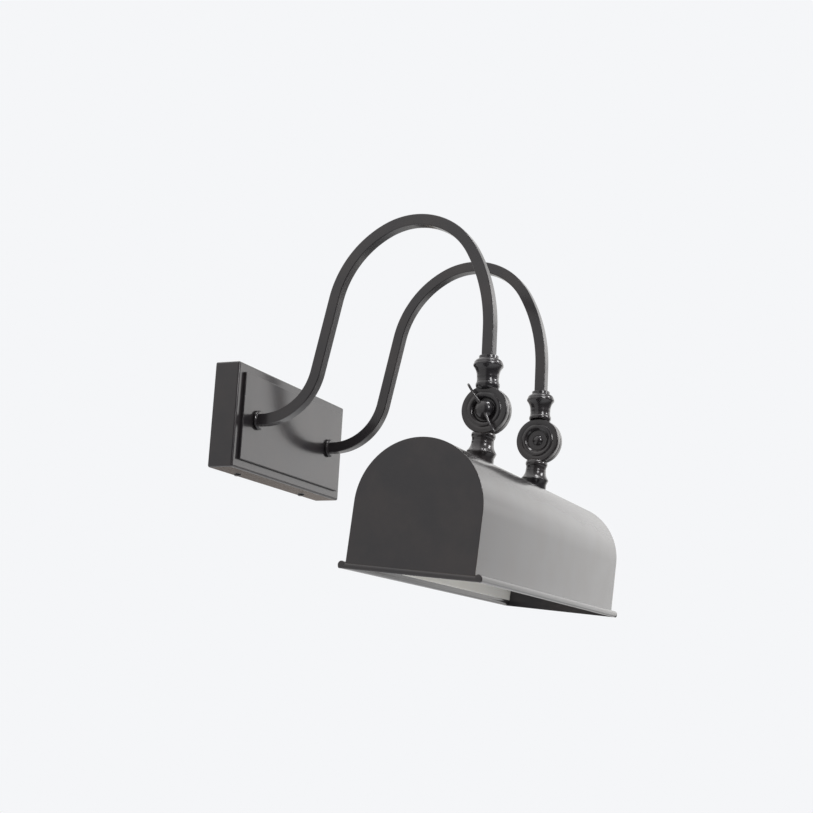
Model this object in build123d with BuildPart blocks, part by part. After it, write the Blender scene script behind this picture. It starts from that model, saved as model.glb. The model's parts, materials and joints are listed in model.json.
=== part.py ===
from build123d import *

import math
import os

# Wall picture light: a rectangular canopy carries two square-tube goosenecks, and each ends in a
# clamped swivel that holds one long arched shade.
#
# Frame: millimetres, +Z up. The origin is the middle of the canopy's back, in the plane of the wall
# (Y = 0). The light stands out from the wall towards -Y, and the canopy and the shade run along X.
# "Left" is -X, as seen by someone who faces the wall.

# ---------------------------------------------------------------- driving dimensions
arm_spacing = 172.0  # between the two arms' centrelines
reach = 315.0  # wall to the swivels' axis
rest_tilt = 5.0  # the shade's opening turns this many degrees towards the wall

# canopy
canopy_width = 254.0
canopy_height = 120.65
canopy_depth = 31.0
canopy_wall = 1.5
canopy_edge_radius = 2.5
panel_inset = 10.5
panel_thickness = 3.5
panel_edge_radius = 0.8

# wall bracket behind the canopy
bracket_width = 200.0
bracket_height = 80.0
bracket_thickness = 2.0
bracket_corner_radius = 6.0
bracket_wire_hole_radius = 12.0
box_slot_spacing = 86.0  # reaches the usual 83.3 and 88.9 mm wall boxes
box_slot_length = 13.0
box_slot_radius = 2.4
tab_spacing = 149.0
tab_width = 16.0
tab_length = 13.0
tab_gap = 0.3  # between a tab and the canopy's inside
tab_screw_distance = 6.5  # from the wall
tab_hole_radius = 2.05
canopy_screw_hole_radius = 2.2
canopy_screw_radius = 2.0
canopy_screw_length = 6.5
canopy_screw_head_radius = 4.0
canopy_screw_head_height = 1.6
canopy_screw_head_edge = 1.0
ground_screw_height = -28.0
ground_hole_radius = 1.8
ground_screw_radius = 1.75
ground_screw_recess = 0.2  # its end stays this far inside the bracket's back
ground_head_corner_radius = 4.2
ground_head_height = 3.0
ground_slot_width = 1.0
ground_slot_depth = 1.0

# gooseneck: straight root, bend up, leaning leg, three tangent arcs over the top, straight drop
tube_side = 12.7
tube_wall = 1.2
tube_corner_radius = 1.0
root_end = 43.36
lower_bend_radius = 66.0
leg_lean = 11.7
leg_length = 86.0
rise_radius = 110.5
rise_angle = 53.0
crown_radius = 80.7
crown_angle = 85.7
fall_radius = 183.4
collar_radius = 11.2
collar_thickness = 4.4
collar_bevel = 1.3
square_clearance = 0.1

# threaded fittings
nipple_radius = 4.8
nipple_bore_radius = 3.3
nipple_hole_radius = 5.0
nipple_depth_in_tube = 10.0
nut_across_flats = 14.0
nut_thickness = 4.5
small_washer_thickness = 1.2
small_washer_radius = 9.0
thread_clearance = 0.05
nipple_proud = 2.0  # beyond its lock nut

# swivels
disc_radius = 26.0
disc_half_thickness = 8.25
disc_edge_radius = 1.5
friction_washer_thickness = 0.8
friction_washer_radius = 23.0
disc_clearance = 0.35
face_ring_outer = 19.8
face_ring_inner = 13.2
face_ring_step = 0.9
face_ring_crown = 1.5
recess_radius = 12.6
recess_floor = 4.9  # from the swivel's mid-plane
bolt_radius = 3.0
bolt_running_clearance = 0.08
bolt_head_radius = 6.0
bolt_head_height = 3.4
bolt_head_rim = 0.8
bolt_head_crown = 8.3
face_washer_radius = 11.3
face_washer_thickness = 1.0
washer_clearance = 0.3
ring_chamfer = 0.4

# turned fittings above and below the discs, as (radius, distance from the swivels' axis);
# three points after "arc" lie on a circle
fitting_start = 22.0
fitting_top = 60.6
foot_end = 58.5
upper_profile = (
    ("line", (0, fitting_start), (9.0, fitting_start)),
    ("arc", (9.0, fitting_start), (12.0, 24.2), (13.0, 27.6)),
    ("arc", (13.0, 27.6), (12.7, 29.4), (12.0, 31.0)),
    ("line", (12.0, 31.0), (12.0, 36.5)),
    ("arc", (12.0, 36.5), (13.1, 43.2), (16.3, 48.6)),
    ("line", (16.3, 48.6), (16.3, 50.4)),
    ("arc", (16.3, 50.4), (14.8, 54.0), (11.6, 56.2)),
    ("line", (11.6, 56.2), (10.6, 56.8), (10.6, 59.8), (9.8, fitting_top), (0, fitting_top),
     (0, fitting_start)),
)
lower_profile = (
    ("line", (0, fitting_start), (9.0, fitting_start)),
    ("arc", (9.0, fitting_start), (12.0, 24.2), (13.0, 27.6)),
    ("arc", (13.0, 27.6), (12.7, 29.2), (12.0, 30.6)),
    ("line", (12.0, 30.6), (12.0, 35.0)),
    ("arc", (12.0, 35.0), (13.0, 40.6), (15.9, 45.0)),
    ("line", (15.9, 45.0), (15.9, 46.6), (14.2, 50.5), (14.2, foot_end), (0, foot_end),
     (0, fitting_start)),
)
spigot_height = 10.0
spigot_clearance = 0.15
wire_passage_depth = 30.0  # below the top of the upper fitting
shade_nipple_top = 43.0  # below the swivels' axis
shade_nipple_hole_top = 42.0

# wing nuts
wing_gap = 0.2
wing_hub_radius = 10.4
wing_hub_height = 8.2
wing_hub_chamfer = 0.8
wing_hub_band = 2.4
wing_dome_via = (0.66, 1.6)  # share of the hub's radius, and distance below its top
wing_bore_margin = 2.6  # metal left over the bolt's end
bolt_end_margin = 3.4
wing_thickness = 2.6
wing_angles = {"left": 59.0, "right": 90.0}  # below horizontal, on the side away from the wall
# one wing in side view, as (distance from the swivel's mid-plane, distance from its axis)
wing_outline = ((8.1, 5.0), (8.1, 10.0), (10.4, 15.0), (12.8, 19.0), (13.6, 23.0), (13.7, 28.5),
                (15.2, 31.2), (17.2, 31.2), (18.8, 28.5), (18.6, 25.0), (17.6, 20.0), (16.0, 15.0),
                (14.2, 10.0), (13.5, 4.0), (8.1, 5.0))

# shade
shade_length = 457.0
shade_radius = 68.0
shade_wall = 1.2
ridge_drop = 56.0  # swivel axis to the shade's ridge
lip_drop = 186.0  # swivel axis to the middle of the rolled edge
bead_radius = 3.8
bead_gap = 0.1
web_height = 2.0  # of the turned-out edge that holds the bead
cap_thickness = 1.2
hem_height = 5.0
hem_proud = 0.8
saddle_radius = 12.0
saddle_depth = 3.0  # below the inside of the ridge

# lamps
lamp_drop = 116.0  # swivel axis to the lamps' axis
socket_back = 47.5  # from the middle of the shade
socket_length = 34.0
socket_radius = 17.0
socket_flange_radius = 19.5
socket_flange_length = 6.0
socket_bore_radius = 14.2
socket_bore_floor = 2.5  # behind the lamp's base
socket_rim_radius = 1.2
socket_screw_offset = 16.5
socket_screw_radius = 1.5
socket_screw_head_radius = 2.9
socket_screw_head_height = 1.9
socket_screw_margin = 1.0  # metal of the flange left beyond the screw's end
socket_screw_hole_radius = 1.55
socket_hole_margin = 0.5
strap_width = 26.0
strap_thickness = 1.5
strap_beyond_arm = 14.0
strap_below_lamp = 20.0
strap_screw_hole_radius = 1.8
strap_wire_hole_radius = 4.0
bulb_radius = 30.0
bulb_length = 108.0
bulb_base_radius = 13.0
bulb_base_length = 25.0
bulb_glass_wall = 1.0
bulb_gap = 0.5  # between the base and the socket's mouth
bulb_contact_radius = 4.5
bulb_contact_height = 3.5
bulb_neck_length = 4.0
bulb_neck_flare = 0.4
bulb_shoulder = (22.0, 22.5)  # beyond the base, and its radius there
screw_shell_wall = 0.6
screw_shell_gap = 0.1
screw_shell_back = 2.0  # behind the lamp's base

# ---------------------------------------------------------------- derived dimensions
arm_x = arm_spacing / 2
panel_face = canopy_depth + panel_thickness
canopy_inside = canopy_depth - canopy_wall
shade_half = shade_length / 2
cap_outside = shade_half - hem_proud
cap_inside = cap_outside - cap_thickness
arch_drop = ridge_drop + shade_radius
shade_inner_radius = shade_radius - shade_wall
bolt_hole_radius = bolt_radius + bolt_running_clearance
inside_stack = small_washer_thickness + nut_thickness + nipple_proud
half_gap = friction_washer_thickness / 2
groove_radius = disc_radius + disc_clearance
spigot_side = tube_side - 2 * tube_wall - 2 * spigot_clearance
wing_base = recess_floor + face_washer_thickness + wing_gap
hub_front = wing_base + wing_hub_height
sides = {"left": -1, "right": 1}

tilt = math.radians(rest_tilt)
shade_out = (0, -math.cos(tilt), -math.sin(tilt))  # across the tilted shade, away from the wall
shade_up = Vector(0, -math.sin(tilt), math.cos(tilt))  # up the tilted shade's middle plane


def wall_plane(distance):
    """Parallel to the wall: local x is X, local y is Z, extrusions grow away from the wall."""
    return Plane(origin=(0, -distance, 0), x_dir=(1, 0, 0), z_dir=(0, -1, 0))


def section_plane(x):
    """Square to X: local x is the distance from the wall, local y is the height."""
    return Plane(origin=(x, 0, 0), x_dir=(0, -1, 0), z_dir=(-1, 0, 0))


def shade_plane(x):
    """Square to X and tilted with the shade: its origin is on the swivels' axis."""
    return Plane(origin=(x, -reach, 0), x_dir=shade_out, z_dir=(-1, 0, 0))


def drop_plane(x, drop):
    """Square to the tilted shade's middle plane, at a drop below the swivels' axis, facing down."""
    return Plane(origin=Vector(x, -reach, 0) - shade_up * drop, x_dir=(1, 0, 0), z_dir=-shade_up)


def swivel_plane(side):
    """Through the swivels' axis: local x runs outwards along it from that swivel's middle."""
    return Plane(origin=(side * arm_x, -reach, 0), x_dir=(side, 0, 0), z_dir=(0, -1, 0))


def swivel_axis(side):
    return Axis((side * arm_x, -reach, 0), (side, 0, 0))


def lamp_plane(side):
    """Through a lamp's axis: local x runs outwards along it from the middle of the shade."""
    return Plane(origin=Vector(0, -reach, 0) - shade_up * lamp_drop, x_dir=(side, 0, 0), z_dir=shade_out)


def lamp_axis(side):
    return Axis(lamp_plane(side).origin, (side, 0, 0))


def lamp_cross_plane(side, distance):
    """Square to a lamp's axis at a distance from the middle of the shade, facing outwards."""
    centre = lamp_plane(side).origin + Vector(side * distance, 0, 0)
    return Plane(origin=centre, x_dir=shade_out, z_dir=(side, 0, 0))


def disc_plane(side, way):
    """Square to the swivels' axis through that swivel's middle, facing outwards (1) or inwards (-1)."""
    return Plane(origin=(side * arm_x, -reach, 0), x_dir=(0, 1, 0), z_dir=(side * way, 0, 0))


def trace(profile, place):
    """Draws a half-section's lines and arcs, with each point moved to its place in the sketch."""
    for kind, *points in profile:
        placed = [place(*point) for point in points]
        if kind == "arc":
            ThreePointArc(*placed)
        else:
            Polyline(*placed)


def save(piece, name):
    piece.part.label = name
    export_step(piece.part, f"parts/{name}.step")


os.makedirs("parts", exist_ok=True)

# ---------------------------------------------------------------- wall bracket
tab_outer = canopy_height / 2 - canopy_wall - tab_gap
canopy_screw_places = [(side * tab_spacing / 2, -tab_screw_distance) for side in sides.values()]

with BuildPart() as wall_bracket:
    with BuildSketch(wall_plane(0)):
        RectangleRounded(bracket_width, bracket_height, bracket_corner_radius)
        with GridLocations(tab_spacing, 0, 2, 1):
            Rectangle(tab_width, 2 * tab_outer)
        Circle(bracket_wire_hole_radius, mode=Mode.SUBTRACT)
        with GridLocations(box_slot_spacing, 0, 2, 1):
            SlotOverall(box_slot_length, 2 * box_slot_radius, mode=Mode.SUBTRACT)
        with Locations((0, ground_screw_height)):
            Circle(ground_hole_radius, mode=Mode.SUBTRACT)
    extrude(amount=bracket_thickness)
    with BuildSketch(wall_plane(bracket_thickness)):
        with GridLocations(tab_spacing, 2 * tab_outer - bracket_thickness, 2, 2):
            Rectangle(tab_width, bracket_thickness)
    extrude(amount=tab_length - bracket_thickness)
    with BuildSketch(Plane.XY.offset(-canopy_height / 2)):
        with Locations(*canopy_screw_places):
            Circle(tab_hole_radius)
    extrude(amount=canopy_height / 4, mode=Mode.SUBTRACT)
save(wall_bracket, "wall_bracket")

with BuildPart() as ground_screw:
    with BuildSketch(wall_plane(ground_screw_recess)):
        with Locations((0, ground_screw_height)):
            Circle(ground_screw_radius)
    extrude(amount=bracket_thickness)
    with BuildSketch(wall_plane(bracket_thickness)):
        with Locations((0, ground_screw_height)):
            RegularPolygon(ground_head_corner_radius, 6)
    extrude(amount=ground_head_height)
    with BuildSketch(wall_plane(bracket_thickness + ground_head_height - ground_slot_depth)):
        with Locations((0, ground_screw_height)):
            Rectangle(3 * ground_head_corner_radius, ground_slot_width)
    extrude(amount=ground_slot_depth, mode=Mode.SUBTRACT)
save(ground_screw, "ground_screw")

# ---------------------------------------------------------------- canopy
with BuildPart() as canopy_box:
    with BuildSketch(wall_plane(0)):
        Rectangle(canopy_width, canopy_height)
    extrude(amount=canopy_depth)
    front_face = canopy_box.faces().sort_by(Axis.Y)[0]
    corner_edges = canopy_box.edges().filter_by(Axis.Y)
    fillet(front_face.edges() + corner_edges, canopy_edge_radius)
    with BuildSketch(wall_plane(0)):
        Rectangle(canopy_width - 2 * canopy_wall, canopy_height - 2 * canopy_wall)
    extrude(amount=canopy_inside, mode=Mode.SUBTRACT)
    with BuildSketch(wall_plane(canopy_inside)):
        with GridLocations(arm_spacing, 0, 2, 1):
            Circle(nipple_hole_radius)
    extrude(amount=canopy_wall, mode=Mode.SUBTRACT)
    with BuildSketch(Plane.XY.offset(-canopy_height / 2)):
        with Locations(*canopy_screw_places):
            Circle(canopy_screw_hole_radius)
    extrude(amount=canopy_wall, mode=Mode.SUBTRACT)
save(canopy_box, "canopy_box")

with BuildPart() as canopy_panel:
    with BuildSketch(wall_plane(canopy_depth)):
        Rectangle(canopy_width - 2 * panel_inset, canopy_height - 2 * panel_inset)
        with GridLocations(arm_spacing, 0, 2, 1):
            Circle(nipple_hole_radius, mode=Mode.SUBTRACT)
    extrude(amount=panel_thickness)
    panel_front = canopy_panel.faces().sort_by(Axis.Y)[0]
    fillet(panel_front.outer_wire().edges(), panel_edge_radius)
save(canopy_panel, "canopy_panel")

with BuildPart() as canopy_screws:
    with BuildSketch(Plane.XY.offset(-canopy_height / 2)):
        with Locations(*canopy_screw_places):
            Circle(canopy_screw_head_radius)
    extrude(amount=-canopy_screw_head_height)
    with BuildSketch(Plane.XY.offset(-canopy_height / 2)):
        with Locations(*canopy_screw_places):
            Circle(canopy_screw_radius)
    extrude(amount=canopy_screw_length)
    head_rims = canopy_screws.edges().filter_by(GeomType.CIRCLE).group_by(Axis.Z)[0]
    fillet(head_rims, canopy_screw_head_edge)
save(canopy_screws, "canopy_screws")

# ---------------------------------------------------------------- arms
for name, side in sides.items():
    with BuildPart() as arm:
        with BuildLine(section_plane(side * arm_x)) as route:
            root = Line((panel_face, 0), (root_end, 0))
            bend = JernArc(root @ 1, root % 1, lower_bend_radius, 90 - leg_lean)
            leg = Line(bend @ 1, bend @ 1 + (bend % 1) * leg_length)
            rise = JernArc(leg @ 1, leg % 1, rise_radius, -rise_angle)
            crown = JernArc(rise @ 1, rise % 1, crown_radius, -crown_angle)
            fall_angle = 180 - leg_lean - rise_angle - crown_angle
            fall = JernArc(crown @ 1, crown % 1, fall_radius, -fall_angle)
            tube_end = Vector((fall @ 1).X, (fall @ 1).Y, fitting_top)
            Line(fall @ 1, tube_end)
        with BuildSketch(Plane(origin=(side * arm_x, -panel_face, 0), x_dir=(1, 0, 0), z_dir=(0, -1, 0))):
            RectangleRounded(tube_side, tube_side, tube_corner_radius)
            Rectangle(tube_side - 2 * tube_wall, tube_side - 2 * tube_wall, mode=Mode.SUBTRACT)
        sweep(path=route.line)
    save(arm, f"arm_{name}")

    with BuildPart() as collar:
        with BuildSketch(wall_plane(panel_face)):
            with Locations((side * arm_x, 0)):
                Circle(collar_radius)
        extrude(amount=collar_thickness)
        rims = collar.edges().filter_by(GeomType.CIRCLE)
        chamfer(rims, collar_bevel)
        with BuildSketch(wall_plane(panel_face)):
            with Locations((side * arm_x, 0)):
                Rectangle(tube_side + 2 * square_clearance, tube_side + 2 * square_clearance)
        extrude(amount=collar_thickness, mode=Mode.SUBTRACT)
    save(collar, f"collar_{name}")

with BuildPart() as arm_nipples:
    with BuildSketch(wall_plane(canopy_inside - inside_stack)):
        with GridLocations(arm_spacing, 0, 2, 1):
            Circle(nipple_radius)
            Circle(nipple_bore_radius, mode=Mode.SUBTRACT)
    extrude(amount=inside_stack + canopy_wall + panel_thickness + nipple_depth_in_tube)
save(arm_nipples, "arm_nipples")

with BuildPart() as arm_washers:
    with BuildSketch(wall_plane(canopy_inside - small_washer_thickness)):
        with GridLocations(arm_spacing, 0, 2, 1):
            Circle(small_washer_radius)
            Circle(nipple_hole_radius, mode=Mode.SUBTRACT)
    extrude(amount=small_washer_thickness)
save(arm_washers, "arm_washers")

with BuildPart() as arm_lock_nuts:
    with BuildSketch(wall_plane(canopy_inside - small_washer_thickness - nut_thickness)):
        with GridLocations(arm_spacing, 0, 2, 1):
            RegularPolygon(nut_across_flats / 2, 6, major_radius=False)
            Circle(nipple_radius + thread_clearance, mode=Mode.SUBTRACT)
    extrude(amount=nut_thickness)
save(arm_lock_nuts, "arm_lock_nuts")

# ---------------------------------------------------------------- swivels
rounding = disc_edge_radius * (1 - math.sqrt(0.5))
disc_rim = disc_half_thickness - disc_edge_radius
ring_seat = disc_half_thickness - face_ring_step
half_disc_profile = (
    ("line", (half_gap, 0), (half_gap, disc_radius), (disc_rim, disc_radius)),
    ("arc", (disc_rim, disc_radius), (disc_half_thickness - rounding, disc_radius - rounding),
     (disc_half_thickness, disc_radius - disc_edge_radius)),
    ("line", (disc_half_thickness, disc_radius - disc_edge_radius),
     (disc_half_thickness, face_ring_outer + ring_chamfer), (ring_seat, face_ring_outer)),
    ("arc", (ring_seat, face_ring_outer),
     (ring_seat + face_ring_crown, (face_ring_outer + face_ring_inner) / 2),
     (ring_seat, face_ring_inner)),
    ("line", (ring_seat, face_ring_inner), (recess_floor, recess_radius), (recess_floor, 0),
     (half_gap, 0)),
)

for name, side in sides.items():
    with BuildPart() as upper_knuckle:
        # turned fitting: bead on the disc, neck, cove, flange and collar under the tube
        with BuildSketch(section_plane(side * arm_x)):
            with BuildLine():
                trace(upper_profile, lambda radius, height: (reach + radius, height))
            make_face()
        revolve(axis=Axis((side * arm_x, -reach, 0), (0, 0, 1)))
        # room for the inner half of the disc to turn
        with BuildSketch(disc_plane(side, -1).offset(-half_gap)):
            Circle(groove_radius)
        extrude(amount=2 * disc_radius, mode=Mode.SUBTRACT)
        with BuildSketch(swivel_plane(side)):
            with BuildLine():
                trace(half_disc_profile, lambda along, radius: (along, radius))
            make_face()
        revolve(axis=swivel_axis(side))
        with BuildSketch(disc_plane(side, 1)):
            Circle(bolt_hole_radius)
        extrude(amount=disc_radius, mode=Mode.SUBTRACT)
        # square spigot inside the tube, and the passage for the wires
        with BuildSketch(Plane(origin=(side * arm_x, -reach, fitting_top))):
            RectangleRounded(spigot_side, spigot_side, tube_corner_radius)
        extrude(amount=spigot_height)
        with BuildSketch(Plane(origin=(side * arm_x, -reach, fitting_top + spigot_height))):
            Circle(nipple_bore_radius)
        extrude(amount=-(spigot_height + wire_passage_depth), mode=Mode.SUBTRACT)
    save(upper_knuckle, f"upper_knuckle_{name}")

    with BuildPart() as lower_knuckle:
        # turned foot: bead under the disc, neck, flared foot shaped to the shade's ridge
        with BuildSketch(shade_plane(side * arm_x)):
            with BuildLine():
                trace(lower_profile, lambda radius, drop: (radius, -drop))
            make_face()
        revolve(axis=Axis((side * arm_x, -reach, 0), shade_up))
        with BuildSketch(shade_plane(side * arm_x)):
            with Locations((0, -arch_drop)):
                Circle(shade_radius)
        extrude(amount=disc_radius, both=True, mode=Mode.SUBTRACT)
        # room for the outer half of the disc to turn
        with BuildSketch(disc_plane(side, 1).offset(-half_gap)):
            Circle(groove_radius)
        extrude(amount=2 * disc_radius, mode=Mode.SUBTRACT)
        with BuildSketch(swivel_plane(side)):
            with BuildLine():
                trace(half_disc_profile, lambda along, radius: (-along, radius))
            make_face()
        revolve(axis=swivel_axis(side))
        with BuildSketch(disc_plane(side, -1)):
            Circle(bolt_radius + thread_clearance)
        extrude(amount=disc_radius, mode=Mode.SUBTRACT)
        with BuildSketch(drop_plane(side * arm_x, shade_nipple_hole_top)):
            Circle(nipple_radius + thread_clearance)
        extrude(amount=disc_radius, mode=Mode.SUBTRACT)
    save(lower_knuckle, f"lower_knuckle_{name}")

    # made with its wings level, then turned to where it rests
    blade_plane = Plane(origin=swivel_plane(side).origin, x_dir=(side, 0, 0), z_dir=(0, 0, -side))
    dome_share, dome_below = wing_dome_via
    band_top = wing_base + wing_hub_band
    hub_profile = (
        ("line", (wing_base, 0), (wing_base, wing_hub_radius - wing_hub_chamfer),
         (wing_base + wing_hub_chamfer, wing_hub_radius), (band_top, wing_hub_radius)),
        ("arc", (band_top, wing_hub_radius), (hub_front - dome_below, wing_hub_radius * dome_share),
         (hub_front, 0)),
        ("line", (hub_front, 0), (wing_base, 0)),
    )
    with BuildPart() as wing_nut:
        with BuildSketch(swivel_plane(side)):
            with BuildLine():
                trace(hub_profile, lambda along, radius: (along, radius))
            make_face()
        revolve(axis=swivel_axis(side))
        with BuildSketch(blade_plane):
            for wing in (1, -1):
                with BuildLine():
                    Polyline(*[(along, wing * radius) for along, radius in wing_outline])
                make_face()
        extrude(amount=wing_thickness / 2, both=True)
        with BuildSketch(disc_plane(side, 1)):
            Circle(bolt_hole_radius)
        extrude(amount=hub_front - wing_bore_margin, mode=Mode.SUBTRACT)
    wing_nut.part = wing_nut.part.rotate(swivel_axis(side), side * wing_angles[name])
    save(wing_nut, f"wing_nut_{name}")

with BuildPart() as swivel_washers:
    for side in sides.values():
        with BuildSketch(disc_plane(side, 1)):
            Circle(friction_washer_radius)
            Circle(bolt_radius + washer_clearance, mode=Mode.SUBTRACT)
        extrude(amount=half_gap, both=True)
save(swivel_washers, "swivel_washers")

with BuildPart() as wing_washers:
    for side in sides.values():
        with BuildSketch(disc_plane(side, 1).offset(recess_floor)):
            Circle(wing_hub_radius)
            Circle(bolt_radius + washer_clearance, mode=Mode.SUBTRACT)
        extrude(amount=face_washer_thickness)
save(wing_washers, "wing_washers")

with BuildPart() as bolt_washers:
    for side in sides.values():
        with BuildSketch(disc_plane(side, -1).offset(recess_floor)):
            Circle(face_washer_radius)
            Circle(bolt_radius + washer_clearance, mode=Mode.SUBTRACT)
        extrude(amount=face_washer_thickness)
save(bolt_washers, "bolt_washers")

with BuildPart() as pivot_bolts:
    for side in sides.values():
        seat = -recess_floor - face_washer_thickness
        rim = seat - bolt_head_rim
        shank_end = hub_front - bolt_end_margin
        with BuildSketch(swivel_plane(side)):
            with BuildLine():
                RadiusArc((seat - bolt_head_height, 0), (rim, bolt_head_radius), bolt_head_crown)
                Polyline((rim, bolt_head_radius), (seat, bolt_head_radius), (seat, bolt_radius),
                         (shank_end, bolt_radius), (shank_end, 0), (seat - bolt_head_height, 0))
            make_face()
        revolve(axis=swivel_axis(side))
save(pivot_bolts, "pivot_bolts")

# ---------------------------------------------------------------- shade
bead_centre = shade_radius + bead_radius + bead_gap

with BuildPart() as shade_shell:
    with BuildSketch(shade_plane(0)):
        with BuildLine():
            Line((shade_radius, -lip_drop), (shade_radius, -arch_drop))
            ThreePointArc((shade_radius, -arch_drop), (0, -ridge_drop), (-shade_radius, -arch_drop))
            Polyline((-shade_radius, -arch_drop), (-shade_radius, -lip_drop),
                     (-shade_inner_radius, -lip_drop), (-shade_inner_radius, -arch_drop))
            ThreePointArc((-shade_inner_radius, -arch_drop), (0, -ridge_drop - shade_wall),
                          (shade_inner_radius, -arch_drop))
            Polyline((shade_inner_radius, -arch_drop), (shade_inner_radius, -lip_drop),
                     (shade_radius, -lip_drop))
        make_face()
        # the edge turns outwards into the rolled bead
        with Locations((shade_radius + bead_radius / 2, web_height / 2 - lip_drop),
                       (-shade_radius - bead_radius / 2, web_height / 2 - lip_drop)):
            Rectangle(bead_radius + 2 * shade_wall, web_height)
    extrude(amount=cap_inside, both=True)
    with BuildSketch(shade_plane(0)):
        with Locations((bead_centre, -lip_drop), (-bead_centre, -lip_drop)):
            Circle(bead_radius)
    extrude(amount=shade_half, both=True)
    with BuildSketch(drop_plane(0, ridge_drop)):
        with GridLocations(arm_spacing, 0, 2, 1):
            Circle(nipple_hole_radius)
    extrude(amount=2 * shade_wall, both=True, mode=Mode.SUBTRACT)
save(shade_shell, "shade_shell")

cap_bottom = lip_drop + bead_radius

for name, side in sides.items():
    with BuildPart() as shade_cap:
        with BuildSketch(shade_plane(side * cap_inside)):
            with BuildLine():
                Polyline((shade_radius, -arch_drop), (shade_radius, -cap_bottom),
                         (-shade_radius, -cap_bottom), (-shade_radius, -arch_drop))
                ThreePointArc((-shade_radius, -arch_drop), (0, -ridge_drop), (shade_radius, -arch_drop))
            make_face()
        extrude(amount=-side * cap_thickness)
        with BuildSketch(shade_plane(side * cap_outside)):
            with Locations((0, -cap_bottom + hem_height / 2)):
                Rectangle(2 * shade_radius, hem_height)
        extrude(amount=-side * hem_proud)
    save(shade_cap, f"shade_cap_{name}")

# ---------------------------------------------------------------- shade fixings
saddle_bottom = ridge_drop + shade_wall + saddle_depth
strap_bottom = saddle_bottom + strap_thickness
lock_washer_bottom = strap_bottom + small_washer_thickness

with BuildPart() as shade_washers:
    with BuildSketch(drop_plane(0, ridge_drop)):
        with GridLocations(arm_spacing, 0, 2, 1):
            Circle(saddle_radius)
            Circle(nipple_hole_radius, mode=Mode.SUBTRACT)
    extrude(amount=saddle_bottom - ridge_drop)
    with BuildSketch(shade_plane(0)):
        with Locations((0, -arch_drop)):
            Circle(shade_inner_radius)
    extrude(amount=shade_half, both=True, mode=Mode.INTERSECT)
save(shade_washers, "shade_washers")

with BuildPart() as shade_nipples:
    with BuildSketch(drop_plane(0, shade_nipple_top)):
        with GridLocations(arm_spacing, 0, 2, 1):
            Circle(nipple_radius)
            Circle(nipple_bore_radius, mode=Mode.SUBTRACT)
    extrude(amount=lock_washer_bottom + nut_thickness + nipple_proud - shade_nipple_top)
save(shade_nipples, "shade_nipples")

with BuildPart() as shade_lock_washers:
    with BuildSketch(drop_plane(0, strap_bottom)):
        with GridLocations(arm_spacing, 0, 2, 1):
            Circle(small_washer_radius)
            Circle(nipple_hole_radius, mode=Mode.SUBTRACT)
    extrude(amount=small_washer_thickness)
save(shade_lock_washers, "shade_lock_washers")

with BuildPart() as shade_lock_nuts:
    with BuildSketch(drop_plane(0, lock_washer_bottom)):
        with GridLocations(arm_spacing, 0, 2, 1):
            RegularPolygon(nut_across_flats / 2, 6, major_radius=False)
            Circle(nipple_radius + thread_clearance, mode=Mode.SUBTRACT)
    extrude(amount=nut_thickness)
save(shade_lock_nuts, "shade_lock_nuts")

# ---------------------------------------------------------------- lamps
strap_end = arm_x + strap_beyond_arm
leg_inside = socket_back - strap_thickness
leg_end = lamp_drop + strap_below_lamp
screw_places = [(0, socket_screw_offset), (0, -socket_screw_offset)]
socket_end = socket_back + socket_length
base_start = socket_end - bulb_base_length - bulb_gap
base_end = base_start + bulb_base_length
bulb_end = base_start + bulb_length

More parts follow.
